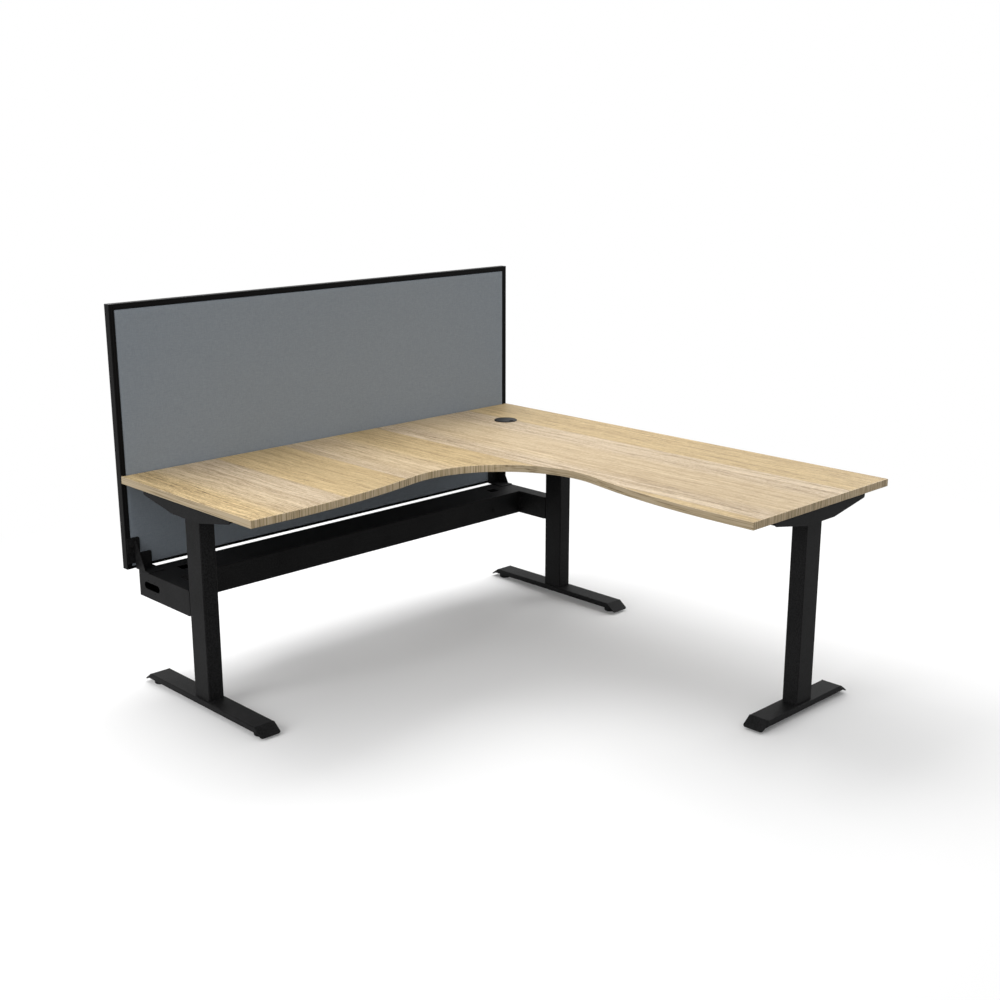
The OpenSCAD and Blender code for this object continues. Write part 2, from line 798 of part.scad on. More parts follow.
module beam_flange_bolts() {
    color(zinc) arm_bolt_places() translate([0, 0, -arm_flange_t])
        hex_bolt(m8_r, m8_head_r, m8_head_h, arm_flange_t + col_wall + strip_t + thread_past);
}

module column_nut_strips() {
    color(zinc) difference() {
        for (x = [left_leg[0], corner_leg[0]]) translate([x - strip_w / 2, column_rear - col_wall - strip_t,
            beam_mid - strip_h / 2]) cube([strip_w, strip_t, strip_h]);
        arm_bolt_places() cylinder(r = m8_r + run_gap, h = col_wall + strip_t + over);
    }
}

// Places of the three screws through each upstand into the screen
module stand_screw_places() {
    for (end = [[beam_x0, 1], [beam_x1, -1]]) translate([end[0], screen_front - stand_t, beam_high])
        rotate([90, 0, 0]) {
            for (z = wing_screw_z) translate([end[1] * (wing_screw_in - wing_out), z, 0]) children();
            translate([end[1] * low_screw_x, low_screw_z, 0]) children();
        }
}

// Outline of the upstand, seen from the front, with x = 0 at the beam's end face
module upstand_outline() {
    square([stand_w, stand_low - stand_r]);
    square([stand_w - stand_r, stand_low]);
    translate([stand_w - stand_r, stand_low - stand_r]) circle(stand_r);
    translate([-wing_out, wing_low]) square([tall_w + wing_out, stand_tall - stand_r - wing_low]);
    translate([-wing_out, wing_low]) square([tall_w - stand_r + wing_out, stand_tall - wing_low]);
    translate([tall_w - stand_r, stand_tall - stand_r]) circle(stand_r);
}

module screen_bracket_shape() {
    base_d = stand_d + screen_gap;
    translate([0, screen_front - base_d, 0]) cube([stand_w, base_d, stand_t]);
    translate([0, screen_front, 0]) rotate([90, 0, 0]) linear_extrude(stand_t) upstand_outline();
    translate([0, screen_front - stand_t, 0]) rotate([90, 0, 90]) linear_extrude(stand_t)
        polygon([[0, 0], [-gusset_d, 0], [-gusset_d, stand_t], [-stand_t, gusset_h], [0, gusset_h]]);
}

module screen_bracket_holes() {
    base_bolt_places() translate([0, 0, stand_t]) sunk_hole(m6_r, sunk_r, stand_t);
    stand_screw_places() sunk_hole(wood_r, screen_screw_head_r, stand_t);
}

module left_screen_bracket() {
    color(black_steel) difference() {
        translate([beam_x0, 0, beam_high]) screen_bracket_shape();
        screen_bracket_holes();
    }
}

module right_screen_bracket() {
    color(black_steel) difference() {
        translate([beam_x1, 0, beam_high]) mirror([1, 0, 0]) screen_bracket_shape();
        screen_bracket_holes();
    }
}

module screen_bracket_bolts() {
    color(zinc) base_bolt_places() {
        translate([0, 0, stand_t]) sunk_bolt(m6_r, sunk_r, stand_t + sheet_t + m6_nut_h + thread_past);
        translate([0, 0, -sheet_t - m6_nut_h]) difference() {
            cylinder(r = m6_head_r, h = m6_nut_h, $fn = 6);
            translate([0, 0, -over]) cylinder(r = m6_r + run_gap, h = m6_nut_h + 2 * over);
        }
    }
}

module screen_screws() {
    color(zinc) stand_screw_places() sunk_bolt(wood_r, screen_screw_head_r, screen_screw_len);
}

// Holes in the screen for those screws
module screen_screw_holes() {
    stand_screw_places() translate([0, 0, -screen_screw_len - slip])
        cylinder(r = wood_r + run_gap, h = screen_screw_len + slip);
}

// Section of the frame: the outer side is at y = 0, the channel for the board opens at y = w,
// and x runs through the screen's depth
module frame_section(w, channel, chamber) {
    difference() {
        union() {
            translate([-screen_t / 2, frame_edge_r]) square([screen_t, w - frame_edge_r]);
            translate([-screen_t / 2 + frame_edge_r, 0]) square([screen_t - 2 * frame_edge_r, w]);
            for (s = [-1, 1]) translate([s * (screen_t / 2 - frame_edge_r), frame_edge_r])
                circle(frame_edge_r);
        }
        translate([-core_t / 2 - fit_gap, w - channel]) square([core_t + 2 * fit_gap, channel + over]);
        if (chamber) {
            translate([-screen_t / 2 + chamber_margin, chamber_margin])
                square([screen_t - 2 * chamber_margin, chamber_w]);
            for (s = [-1, 1], y = groove_at) translate([s * screen_t / 2 - groove_d, y - groove_w / 2])
                square([2 * groove_d, groove_w]);
        }
    }
}

// A post at one end: side is -1 on the left and 1 on the right
module screen_post(side) {
    color(black_frame) difference() {
        translate([side * x_right, screen_front + screen_t / 2, screen_low + screen_cap_t])
            linear_extrude(screen_h - 2 * screen_cap_t) rotate(side * 90)
                frame_section(frame_w, channel_d, true);
        screen_screw_holes();
    }
}

module screen_top_rail() {
    color(black_frame) translate([0, screen_front + screen_t / 2, screen_high]) rotate([-90, 0, 90])
        linear_extrude(run_w - 2 * frame_w, center = true) frame_section(frame_w, channel_d, true);
}

module screen_bottom_rail() {
    color(black_frame) translate([0, screen_front + screen_t / 2, screen_low]) rotate([90, 0, 90])
        linear_extrude(run_w - 2 * frame_w, center = true)
            frame_section(bottom_rail_h, bottom_channel_d, false);
}

module screen_caps() {
    color(black_plastic) for (s = [-1, 1], z = [screen_low, screen_high - screen_cap_t])
        translate([s * (x_right - frame_w / 2), screen_front + screen_t / 2, z])
            linear_extrude(screen_cap_t) round_rect(frame_w, screen_t, frame_edge_r);
}

module screen_core() {
    core_w = run_w - 2 * (frame_w - channel_d + fit_gap);
    core_low = screen_low + bottom_rail_h - bottom_channel_d;
    core_high = screen_high - frame_w + channel_d - fit_gap;
    color(board) difference() {
        translate([-core_w / 2, screen_front + (screen_t - core_t) / 2, core_low])
            cube([core_w, core_t, core_high - core_low]);
        screen_screw_holes();
    }
}

// A fabric-covered panel between the posts, on one face of the board
module fabric_panel(y) {
    panel_w = run_w - 2 * frame_w - 2 * fit_gap;
    panel_low = screen_low + bottom_rail_h + fit_gap;
    panel_high = screen_high - frame_w - fit_gap;
    color(grey_cloth) difference() {
        translate([-panel_w / 2, y, panel_low]) cube([panel_w, pad_back - fabric_set, panel_high - panel_low]);
        screen_screw_holes();
    }
}

worktop();
edge_band();
grommet_sleeve();
grommet_lid();
at_left() foot(foot_len);  // left_foot
at_left() column(1);  // left_column
at_left() end_plates();  // left_end_plates
at_left() top_bracket();  // left_top_bracket
at_left() foot_bolts();  // left_foot_bolts
at_left() bracket_bolts();  // left_bracket_bolts
at_corner() foot(foot_len);  // corner_foot
at_corner() column(-1);  // corner_column
at_corner() end_plates();  // corner_end_plates
at_corner() top_bracket();  // corner_top_bracket
at_corner() foot_bolts();  // corner_foot_bolts
at_corner() bracket_bolts();  // corner_bracket_bolts
at_return() foot(return_foot_len);  // return_foot
at_return() column(0);  // return_column
at_return() end_plates();  // return_end_plates
at_return() top_bracket();  // return_top_bracket
at_return() foot_bolts();  // return_foot_bolts
at_return() bracket_bolts();  // return_bracket_bolts
at_left() glide(-1, -glide_off);  // left_front_glide
at_left() glide(-1, glide_off);  // left_rear_glide
at_corner() glide(1, glide_off);  // corner_front_glide
at_corner() glide(1, -glide_off);  // corner_rear_glide
at_return() glide(1, return_glide_off);  // return_left_glide
at_return() glide(1, -return_glide_off);  // return_right_glide
glide_bushes();
main_rail(-1);  // main_front_rail
main_rail(1);  // main_rear_rail
return_rail(-1);  // return_left_rail
return_rail(1);  // return_right_rail
main_rail_plates();
return_rail_plates();
main_rail_bolts();
return_rail_bolts();
top_screws();
beam_top();
beam_front();
beam_bottom();
beam_end(beam_x0);  // beam_left_end
beam_end(beam_x1 - sheet_t);  // beam_right_end
beam_rear_cover();
beam_cover_screws();
beam_flanges();
beam_flange_bolts();
column_nut_strips();
left_screen_bracket();
right_screen_bracket();
screen_bracket_bolts();
screen_screws();
screen_post(-1);  // screen_left_post
screen_post(1);  // screen_right_post
screen_top_rail();
screen_bottom_rail();
screen_caps();
screen_core();
fabric_panel(screen_front + fabric_set);  // front_fabric
fabric_panel(screen_front + screen_t - pad_back);  // rear_fabric
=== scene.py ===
import bpy
import bmesh
import json
import math
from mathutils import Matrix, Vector
from mathutils.bvhtree import BVHTree


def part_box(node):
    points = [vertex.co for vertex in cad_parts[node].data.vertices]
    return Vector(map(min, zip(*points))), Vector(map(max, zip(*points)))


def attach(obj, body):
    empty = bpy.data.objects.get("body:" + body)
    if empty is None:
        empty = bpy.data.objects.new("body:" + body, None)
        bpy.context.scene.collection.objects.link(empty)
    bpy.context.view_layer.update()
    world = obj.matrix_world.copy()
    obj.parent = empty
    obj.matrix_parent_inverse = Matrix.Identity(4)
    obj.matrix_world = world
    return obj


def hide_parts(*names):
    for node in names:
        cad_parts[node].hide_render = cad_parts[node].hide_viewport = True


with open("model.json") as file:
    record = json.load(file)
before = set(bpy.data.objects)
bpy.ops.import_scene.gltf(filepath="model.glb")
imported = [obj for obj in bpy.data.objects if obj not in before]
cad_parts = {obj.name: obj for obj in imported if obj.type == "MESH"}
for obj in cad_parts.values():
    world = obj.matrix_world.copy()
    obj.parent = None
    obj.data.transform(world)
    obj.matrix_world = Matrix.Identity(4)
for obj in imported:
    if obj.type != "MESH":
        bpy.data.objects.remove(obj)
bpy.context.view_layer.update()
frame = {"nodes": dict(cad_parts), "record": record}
nodes = frame["nodes"]
slotOf = {part["node"]: part["material_slot"] for part in frame["record"]["subparts"]}
print("frame loaded:", len(nodes), "nodes")


# Camera

cameraValues = {
    "place": (-3.1346, -3.2094, 1.8649),
    "tilt": 74.849,                    # degrees from straight down
    "turn": -44.318,
    "lens": 50.07,
    "sensor": 36.0,
    "sees": 60.0,                      # metres
}

cameraData = bpy.data.cameras.new("studioCamera")
cameraData.lens = cameraValues["lens"]
cameraData.sensor_width = cameraValues["sensor"]
cameraData.clip_end = cameraValues["sees"]
camera = bpy.data.objects.new("studioCamera", cameraData)
camera.location = cameraValues["place"]
camera.rotation_euler = (math.radians(cameraValues["tilt"]), 0, math.radians(cameraValues["turn"]))
bpy.context.scene.collection.objects.link(camera)
bpy.context.scene.camera = camera
print("camera placed")


# Node helpers

whole = (0.0, 1.0)
common = (0.3, 0.7)                    # where most values of a noise lie


def startMaterial(name):
    material = bpy.data.materials.new(name)
    material.use_nodes = True
    tree = material.node_tree
    tree.nodes.clear()
    output = tree.nodes.new("ShaderNodeOutputMaterial")
    shader = tree.nodes.new("ShaderNodeBsdfPrincipled")
    tree.links.new(shader.outputs["BSDF"], output.inputs["Surface"])
    return material, tree, shader


def feed(tree, socket, value):
    # a value may be a number, a colour or another node's output
    if isinstance(value, bpy.types.NodeSocket):
        tree.links.new(value, socket)
    else:
        socket.default_value = value


def finishSurface(tree, shader, colour, roughness, shine, metallic=0.0):
    feed(tree, shader.inputs["Base Color"], colour)
    feed(tree, shader.inputs["Roughness"], roughness)
    feed(tree, shader.inputs["Specular IOR Level"], shine)
    feed(tree, shader.inputs["Metallic"], metallic)


def objectPlace(tree):
    return tree.nodes.new("ShaderNodeTexCoord").outputs["Object"]


def axes(tree, vector):
    node = tree.nodes.new("ShaderNodeSeparateXYZ")
    tree.links.new(vector, node.inputs[0])
    return node.outputs


def noise(tree, place, look, shift=(0, 0, 0)):
    # look: lumps per metre along X, Y and Z, then detail, roughness and distortion
    lumps, detail, roughness, distortion = look
    scaled = tree.nodes.new("ShaderNodeMapping")
    tree.links.new(place, scaled.inputs["Vector"])
    scaled.inputs["Scale"].default_value = lumps
    scaled.inputs["Location"].default_value = shift
    node = tree.nodes.new("ShaderNodeTexNoise")
    tree.links.new(scaled.outputs["Vector"], node.inputs["Vector"])
    node.inputs["Scale"].default_value = 1.0
    node.inputs["Detail"].default_value = detail
    node.inputs["Roughness"].default_value = roughness
    node.inputs["Distortion"].default_value = distortion
    return node.outputs["Fac"]


def evenly(lumps, detail, roughness):
    return (lumps, lumps, lumps), detail, roughness, 0.0


def mathNode(tree, kind, first, second=0.0, clamp=False):
    node = tree.nodes.new("ShaderNodeMath")
    node.operation = kind
    node.use_clamp = clamp
    feed(tree, node.inputs[0], first)
    feed(tree, node.inputs[1], second)
    return node.outputs[0]


def spread(tree, value, span, result, smooth=False):
    node = tree.nodes.new("ShaderNodeMapRange")
    node.interpolation_type = "SMOOTHSTEP" if smooth else "LINEAR"
    feed(tree, node.inputs["Value"], value)
    node.inputs["From Min"].default_value = span[0]
    node.inputs["From Max"].default_value = span[1]
    node.inputs["To Min"].default_value = result[0]
    node.inputs["To Max"].default_value = result[1]
    return node.outputs["Result"]


def swing(tree, value, span, most):
    return spread(tree, value, span, (-most, most))


def mixColour(tree, amount, first, second):
    node = tree.nodes.new("ShaderNodeMix")
    node.data_type = "RGBA"
    feed(tree, node.inputs[0], amount)      # the node keeps its colour sockets after the number ones
    feed(tree, node.inputs[6], first)
    feed(tree, node.inputs[7], second)
    return node.outputs[2]


def mixShader(tree, amount, first, second):
    node = tree.nodes.new("ShaderNodeMixShader")
    tree.links.new(amount, node.inputs[0])
    tree.links.new(first.outputs[0], node.inputs[1])
    tree.links.new(second.outputs[0], node.inputs[2])
    return node


def times(tree, colour, value):
    node = tree.nodes.new("ShaderNodeVectorMath")
    node.operation = "SCALE"
    tree.links.new(colour, node.inputs[0])
    feed(tree, node.inputs["Scale"], value)
    return node.outputs[0]


def ramp(tree, value, stops):
    node = tree.nodes.new("ShaderNodeValToRGB")
    elements = node.color_ramp.elements
    while len(elements) > 1:
        elements.remove(elements[-1])
    elements[0].position = stops[0][0]
    elements[0].color = stops[0][1]
    for position, colour in stops[1:]:
        elements.new(position).color = colour
    tree.links.new(value, node.inputs["Fac"])
    return node.outputs["Color"]


def bump(tree, shader, height, relief):
    # relief: the depth in metres and the strength
    node = tree.nodes.new("ShaderNodeBump")
    node.inputs["Distance"].default_value = relief[0]
    node.inputs["Strength"].default_value = relief[1]
    tree.links.new(height, node.inputs["Height"])
    tree.links.new(node.outputs["Normal"], shader.inputs["Normal"])


def seenDirectly(tree):
    # 1 for the camera, mirrors and glass, 0 for bounced light
    path = tree.nodes.new("ShaderNodeLightPath").outputs
    mirrored = mathNode(tree, "MAXIMUM", path["Is Glossy Ray"], path["Is Transmission Ray"])
    return mathNode(tree, "MAXIMUM", path["Is Camera Ray"], mirrored)


def linear(levels):
    # display levels 0-255 to the shader's own linear colour
    out = []
    for level in levels:
        c = level / 255
        out.append(c / 12.92 if c <= 0.04045 else ((c + 0.055) / 1.055) ** 2.4)
    return (*out, 1.0)


def shaded(colour, factor=1.0):
    return (*[c * factor for c in colour[:3]], 1.0)


# Finishes, whose noises are given as lumps per metre, detail, roughness and distortion

laminateValues = {
    "yellow": (187, 165, 124),
    "beige": (189, 170, 139),
    "grey": (186, 169, 144),
    "brown": (176, 144, 100),
    "width": 1.8,
    # where each tone stands along the width, how strong the grain is and how light the tone
    "strip": ((0.0, "yellow", 1.5, 1.14), (0.050, "yellow", 1.5, 1.09), (0.080, "beige", 1.15, 1.01),
              (0.150, "grey", 1.1, 1.03), (0.2055, "grey", 1.1, 1.01), (0.2075, "yellow", 1.0, 1.06),
              (0.250, "yellow", 1.0, 1.00), (0.290, "yellow", 1.0, 0.91), (0.3655, "yellow", 1.0, 1.0),
              (0.3675, "grey", 1.0, 0.99), (0.420, "beige", 0.9, 0.99), (0.470, "beige", 0.9, 1.02),
              (0.505, "yellow", 1.2, 0.94), (0.560, "yellow", 1.0, 0.97), (0.6055, "yellow", 1.0, 1.01),
              (0.6075, "grey", 1.3, 1.05), (0.648, "grey", 1.2, 1.01), (0.680, "beige", 0.8, 0.98),
              (0.780, "beige", 0.8, 0.96), (0.815, "grey", 1.2, 1.0), (0.874, "grey", 1.2, 0.97),
              (0.878, "yellow", 1.1, 0.93), (1.0, "yellow", 1.2, 0.91)),
    "strongest": 2.0,                  # the strengths are divided by it, as a ramp's colours end at 1
    "borderNoise": ((0.0, 2.2, 0.0), 2.0, 0.55, 0.0), "borderSway": 0.0015,
    "swayNoise": ((1.5, 3.0, 1.5), 2.0, 0.55, 0.0), "sway": 0.006,
    "broadNoise": ((58.0, 1.0, 58.0), 2.0, 0.55, 0.2), "broad": 0.33,
    "narrowNoise": ((290.0, 5.0, 290.0), 3.0, 0.65, 0.2), "narrow": 0.525,
    "fleckNoise": ((300.0, 65.0, 300.0), 2.0, 0.6, 0.0), "flecks": 0.35,
    "figureNoise": ((9.0, 0.75, 9.0), 3.0, 0.5, 1.4), "figureTurns": 90.0, "figure": 0.030,
    "lineNoise": ((380.0, 13.0, 380.0), 2.0, 0.6, 0.0), "lineShift": (5.0, 2.0, 0.0),
    "lineSpan": (0.54, 0.70), "lines": (0.0, 0.46),
    "poreNoise": ((900.0, 34.0, 900.0), 2.0, 0.5, 0.0), "poreShift": (3.0, 1.0, 0.0),
    "poreSpan": (0.60, 0.72), "pores": (0.0, 0.28),
    "brownSpan": (-0.16, 0.04), "browning": (0.42, 0.0),
    "lift": 1.125,
    "roughSpan": (0.25, 0.75), "roughness": (0.45, 0.57),
    "shine": 0.16,
    "relief": (0.0005, 0.5),
}


def makeLaminate():
    v = laminateValues
    material, tree, shader = startMaterial("oakLaminate")
    place = objectPlace(tree)
    x, y, z = axes(tree, place)
    # the plank borders wander a little along the grain
    wander = swing(tree, noise(tree, place, v["borderNoise"]), common, v["borderSway"])
    along = spread(tree, mathNode(tree, "ADD", x, wander), (-v["width"] / 2, v["width"] / 2), whole)
    plank = ramp(tree, along, [(at, shaded(linear(v[tone]), light)) for at, tone, _, light in v["strip"]])
    most = v["strongest"]
    force = ramp(tree, along, [(at, shaded((1, 1, 1), much / most)) for at, _, much, _ in v["strip"]])
    force = mathNode(tree, "MULTIPLY", force, most)
    # the grain itself sways a little too, and is drawn out along Y
    sway = swing(tree, noise(tree, place, v["swayNoise"]), common, v["sway"])
    joined = tree.nodes.new("ShaderNodeCombineXYZ")
    for socket, value in zip(joined.inputs, (mathNode(tree, "ADD", x, sway), y, z)):
        tree.links.new(value, socket)
    swayed = joined.outputs[0]
    narrow = noise(tree, swayed, v["narrowNoise"])
    change = mathNode(tree, "ADD", swing(tree, noise(tree, swayed, v["broadNoise"]), whole, v["broad"]),
                      swing(tree, narrow, whole, v["narrow"]))
    flecks = swing(tree, noise(tree, swayed, v["fleckNoise"]), whole, v["flecks"])
    change = mathNode(tree, "ADD", change, flecks)
    # a heart figure, as rings round the lumps of a noise
    rings = mathNode(tree, "MULTIPLY", noise(tree, swayed, v["figureNoise"]), v["figureTurns"])
    figure = mathNode(tree, "MULTIPLY", mathNode(tree, "SINE", rings), v["figure"])
    change = mathNode(tree, "ADD", change, figure)
    line = spread(tree, noise(tree, swayed, v["lineNoise"], v["lineShift"]), v["lineSpan"], v["lines"])
    pore = spread(tree, noise(tree, place, v["poreNoise"], v["poreShift"]), v["poreSpan"], v["pores"])
    change = mathNode(tree, "SUBTRACT", change, mathNode(tree, "ADD", line, pore))
    change = mathNode(tree, "MULTIPLY", change, force)
    # the darker the streak, the browner it is
    warm = mixColour(tree, spread(tree, change, v["brownSpan"], v["browning"]), plank, linear(v["brown"]))
    finishSurface(tree, shader, times(tree, warm, mathNode(tree, "ADD", change, v["lift"])),
                  spread(tree, narrow, v["roughSpan"], v["roughness"]), v["shine"])
    bump(tree, shader, change, v["relief"])
    return material


edgingValues = {
    "stops": ((0.34, (106, 90, 66)), (0.50, (198, 176, 139)), (0.68, (218, 199, 168))),
    # the faces along X take a greyer, darker colour: partly the side grain's own tone, partly painted shade
    # that darkens the left end
    "grey": (142, 127, 102), "sideGreyAndPaintedShadeShare": 0.45,
    "stripeNoise": ((340.0, 340.0, 6.0), 2.0, 0.6, 0.0), "stripeSpan": (0.34, 0.66), "stripes": (0.37, 0.70),
    "lineNoise": ((40.0, 2.6, 260.0), 3.0, 0.65, 0.0), "lineSpan": (0.36, 0.62), "lines": (0.32, 0.82),
    "turnSpan": (0.55, 0.85),
    "roughness": 0.46,
    "shine": 0.18,
    "relief": (0.00008, 0.4),
}


def makeEdging():
    v = edgingValues
    material, tree, shader = startMaterial("oakEdging")
    place = objectPlace(tree)
    normal = axes(tree, tree.nodes.new("ShaderNodeNewGeometry").outputs["Normal"])
    sideways = mathNode(tree, "ABSOLUTE", normal["X"])
    turned = spread(tree, sideways, v["turnSpan"], whole, True)
    # end grain stands in short upright stripes, side grain runs in long lines
    stripes = spread(tree, noise(tree, place, v["stripeNoise"]), v["stripeSpan"], v["stripes"])
    lines = spread(tree, noise(tree, place, v["lineNoise"]), v["lineSpan"], v["lines"])
    grain = mixColour(tree, turned, stripes, lines)
    colour = ramp(tree, grain, [(at, linear(levels)) for at, levels in v["stops"]])
    # faces along X are greyed and darkened, partly as the side grain's own tone and partly as painted shade
    sideGreyedAndShaded = mixColour(tree, mathNode(tree, "MULTIPLY", turned, v["sideGreyAndPaintedShadeShare"]), colour, linear(v["grey"]))
    finishSurface(tree, shader, sideGreyedAndShaded, v["roughness"], v["shine"])
    bump(tree, shader, grain, v["relief"])
    return material


coatValues = {
    "colour": (0.0090, 0.0090, 0.0093), "darkest": 0.1, "lightest": 2.3,
    "cloudNoise": evenly(9.0, 4.0, 0.6), "clouds": (0.0, 0.25),
    "mottleNoise": evenly(230.0, 2.0, 0.7), "mottleSpan": (0.36, 0.64), "mottle": (0.0, 0.75),
    "grainNoise": evenly(1400.0, 2.0, 0.5),
    "roughSpan": (0.35, 0.65), "roughness": (0.45, 0.65),
    "shine": 0.075,
    "relief": (0.00022, 0.7),
}


def makeCoat():
    v = coatValues
    material, tree, shader = startMaterial("blackPowderCoat")
    place = objectPlace(tree)
    mottle = noise(tree, place, v["mottleNoise"])
    clouds = noise(tree, place, v["cloudNoise"])
    shade = mathNode(tree, "ADD", spread(tree, clouds, common, v["clouds"]),
                     spread(tree, mottle, v["mottleSpan"], v["mottle"]))
    tint = mixColour(tree, shade, shaded(v["colour"], v["darkest"]), shaded(v["colour"], v["lightest"]))
    finishSurface(tree, shader, tint, spread(tree, mottle, v["roughSpan"], v["roughness"]), v["shine"])
    bump(tree, shader, noise(tree, place, v["grainNoise"]), v["relief"])
    return material


def startClouded(name, v):
    # a plain dark finish with faint clouds, to which each maker below adds its own relief
    material, tree, shader = startMaterial(name)
    place = objectPlace(tree)
    clouds = noise(tree, place, v["cloudNoise"])
    tint = mixColour(tree, spread(tree, clouds, common, whole), shaded(v["colour"], v["darkest"]),
                     shaded(v["colour"], v["lightest"]))
    finishSurface(tree, shader, tint, spread(tree, clouds, common, v["roughness"]), v["shine"], v["metallic"])
    return material, tree, shader, place, clouds


frameValues = {
    "colour": (0.0060, 0.0060, 0.0062), "darkest": 0.9, "lightest": 1.12,
    "cloudNoise": evenly(14.0, 3.0, 0.55),
    "fineNoise": evenly(2200.0, 2.0, 0.5),
    "roughness": (0.38, 0.47),
    "shine": 0.045,
    "metallic": 0.0,
    "relief": (0.00006, 0.4),
}


def makeFrameCoat():
    v = frameValues
    material, tree, shader, place, _ = startClouded("satinBlackAluminium", v)
    bump(tree, shader, noise(tree, place, v["fineNoise"]), v["relief"])
    return material


sleeveValues = {
    "colour": (0.0040, 0.0043, 0.0050), "darkest": 0.85, "lightest": 1.2,
    "cloudNoise": evenly(60.0, 3.0, 0.6),
    "cells": 1500.0,                   # per metre
    "roughness": (0.41, 0.52),
    "shine": 0.12,
    "metallic": 0.0,
    "relief": (0.00015, 0.3),
}
lidValues = dict(sleeveValues, colour=(0.0125, 0.0135, 0.0150))


def makePlastic(name, v):
    material, tree, shader, place, _ = startClouded(name, v)
    cell = tree.nodes.new("ShaderNodeTexVoronoi")
    tree.links.new(place, cell.inputs["Vector"])
    cell.inputs["Scale"].default_value = v["cells"]
    bump(tree, shader, cell.outputs["Distance"], v["relief"])
    return material


blackenedValues = {
    "colour": (0.011, 0.011, 0.012), "darkest": 0.8, "lightest": 1.3,
    "cloudNoise": evenly(180.0, 4.0, 0.6),
    "roughness": (0.38, 0.55),
    "shine": 0.12,
    "metallic": 0.15,
    "relief": (0.00004, 0.4),
}


def makeBlackened():
    v = blackenedValues
    material, tree, shader, _, clouds = startClouded("blackenedSteel", v)
    bump(tree, shader, clouds, v["relief"])
    return material


clothValues = {
    "light": (0.315, 0.357, 0.404),
    "dark": (0.214, 0.244, 0.278),
    "thread": 0.00125,                 # pitch of the weave
    "crossing": (-0.2, 0.2),
    "slubNoise": ((60.0, 60.0, 700.0), 3.0, 0.6, 0.0), "slub": (0.22, 0.62),
    "uprightSlubNoise": ((700.0, 60.0, 60.0), 3.0, 0.6, 0.0), "uprightSlub": 0.18,
    "fuzzNoise": evenly(3200.0, 2.0, 0.6), "fuzz": 0.10, "fuzzRelief": 0.5,
    # painted shade of the weave: the threads' crowns lighter, the dips between them darker
    "threadSpan": (0.0, 0.8), "threadPaintedShade": (0.80, 1.18),
    "roughness": 0.92,
    "shine": 0.25,
    "sheen": 0.12, "sheenRoughness": 0.5,
    "relief": (0.00022, 0.7),
}


def makeCloth():
    v = clothValues
    material, tree, shader = startMaterial("greyWovenFabric")
    place = objectPlace(tree)
    x, _, z = axes(tree, place)
    acrossTurns = mathNode(tree, "MULTIPLY", x, math.pi / v["thread"])
    upTurns = mathNode(tree, "MULTIPLY", z, math.pi / v["thread"])
    # plain weave: each thread goes over one and under one
    over = mathNode(tree, "MULTIPLY", mathNode(tree, "SINE", acrossTurns), mathNode(tree, "SINE", upTurns))
    warpRound = mathNode(tree, "ABSOLUTE", mathNode(tree, "COSINE", acrossTurns))
    weftRound = mathNode(tree, "ABSOLUTE", mathNode(tree, "COSINE", upTurns))
    top = mixColour(tree, spread(tree, over, v["crossing"], whole), weftRound, warpRound)
    fuzz = noise(tree, place, v["fuzzNoise"])
    shade = mathNode(tree, "ADD", spread(tree, noise(tree, place, v["slubNoise"]), common, v["slub"]),
                     swing(tree, noise(tree, place, v["uprightSlubNoise"]), common, v["uprightSlub"]))
    shade = mathNode(tree, "ADD", shade, swing(tree, fuzz, common, v["fuzz"]))
    # the threads' crowns are painted lighter and the dips between them darker, as painted shade over the slub
    # tone
    shade = mathNode(tree, "MULTIPLY", shade, spread(tree, top, v["threadSpan"], v["threadPaintedShade"]), True)
    finishSurface(tree, shader, mixColour(tree, shade, shaded(v["dark"]), shaded(v["light"])),
                  v["roughness"], v["shine"])
    shader.inputs["Sheen Weight"].default_value = v["sheen"]
    shader.inputs["Sheen Roughness"].default_value = v["sheenRoughness"]
    raised = mathNode(tree, "ADD", top, mathNode(tree, "MULTIPLY", fuzz, v["fuzzRelief"]))
    bump(tree, shader, raised, v["relief"])
    return material


boardValues = {
    "light": (0.42, 0.31, 0.20),
    "dark": (0.30, 0.21, 0.13),
    "fibreNoise": evenly(260.0, 5.0, 0.7),
    "roughness": 0.85,
    "shine": 0.5,
    "relief": (0.0002, 0.5),
}


def makeBoard():
    v = boardValues
    material, tree, shader = startMaterial("plainFibreboard")
    fibres = noise(tree, objectPlace(tree), v["fibreNoise"])
    colour = ramp(tree, fibres, [(common[0], shaded(v["dark"])), (common[1], shaded(v["light"]))])
    finishSurface(tree, shader, colour, v["roughness"], v["shine"])
    bump(tree, shader, fibres, v["relief"])
    return material


zincValues = {
    "cool": (0.40, 0.42, 0.45),
    "warm": (0.46, 0.44, 0.39),
    "cloudNoise": evenly(120.0, 4.0, 0.6), "cloudSpan": (0.35, 0.65),
    "lineNoise": ((300.0, 300.0, 4200.0), 2.0, 0.5, 0.0),
    "roughness": (0.30, 0.50),
    "shine": 0.5,
    "metallic": 1.0,
    "relief": (0.00003, 0.4),
}


def makeZinc():
    v = zincValues
    material, tree, shader = startMaterial("zincPlatedSteel")
    place = objectPlace(tree)
    clouds = spread(tree, noise(tree, place, v["cloudNoise"]), v["cloudSpan"], whole)
    lines = noise(tree, place, v["lineNoise"])
    finishSurface(tree, shader, mixColour(tree, clouds, shaded(v["cool"]), shaded(v["warm"])),
                  spread(tree, lines, common, v["roughness"]), v["shine"], v["metallic"])
    bump(tree, shader, lines, v["relief"])
    return material


finishes = {
    "oak_laminate": makeLaminate(),
    "oak_edging": makeEdging(),
    "black_steel": makeCoat(),
    "black_frame": makeFrameCoat(),
    "black_plastic": makePlastic("blackMouldedPlastic", sleeveValues),
    "black_fasteners": makeBlackened(),
    "grey_fabric": makeCloth(),
    "screen_board": makeBoard(),
    "zinc_steel": makeZinc(),
}
for name, node in nodes.items():
    for slot in node.material_slots:
        slot.material = finishes[slotOf[name]]
print("finishes made:", len(finishes))


# Piece helpers

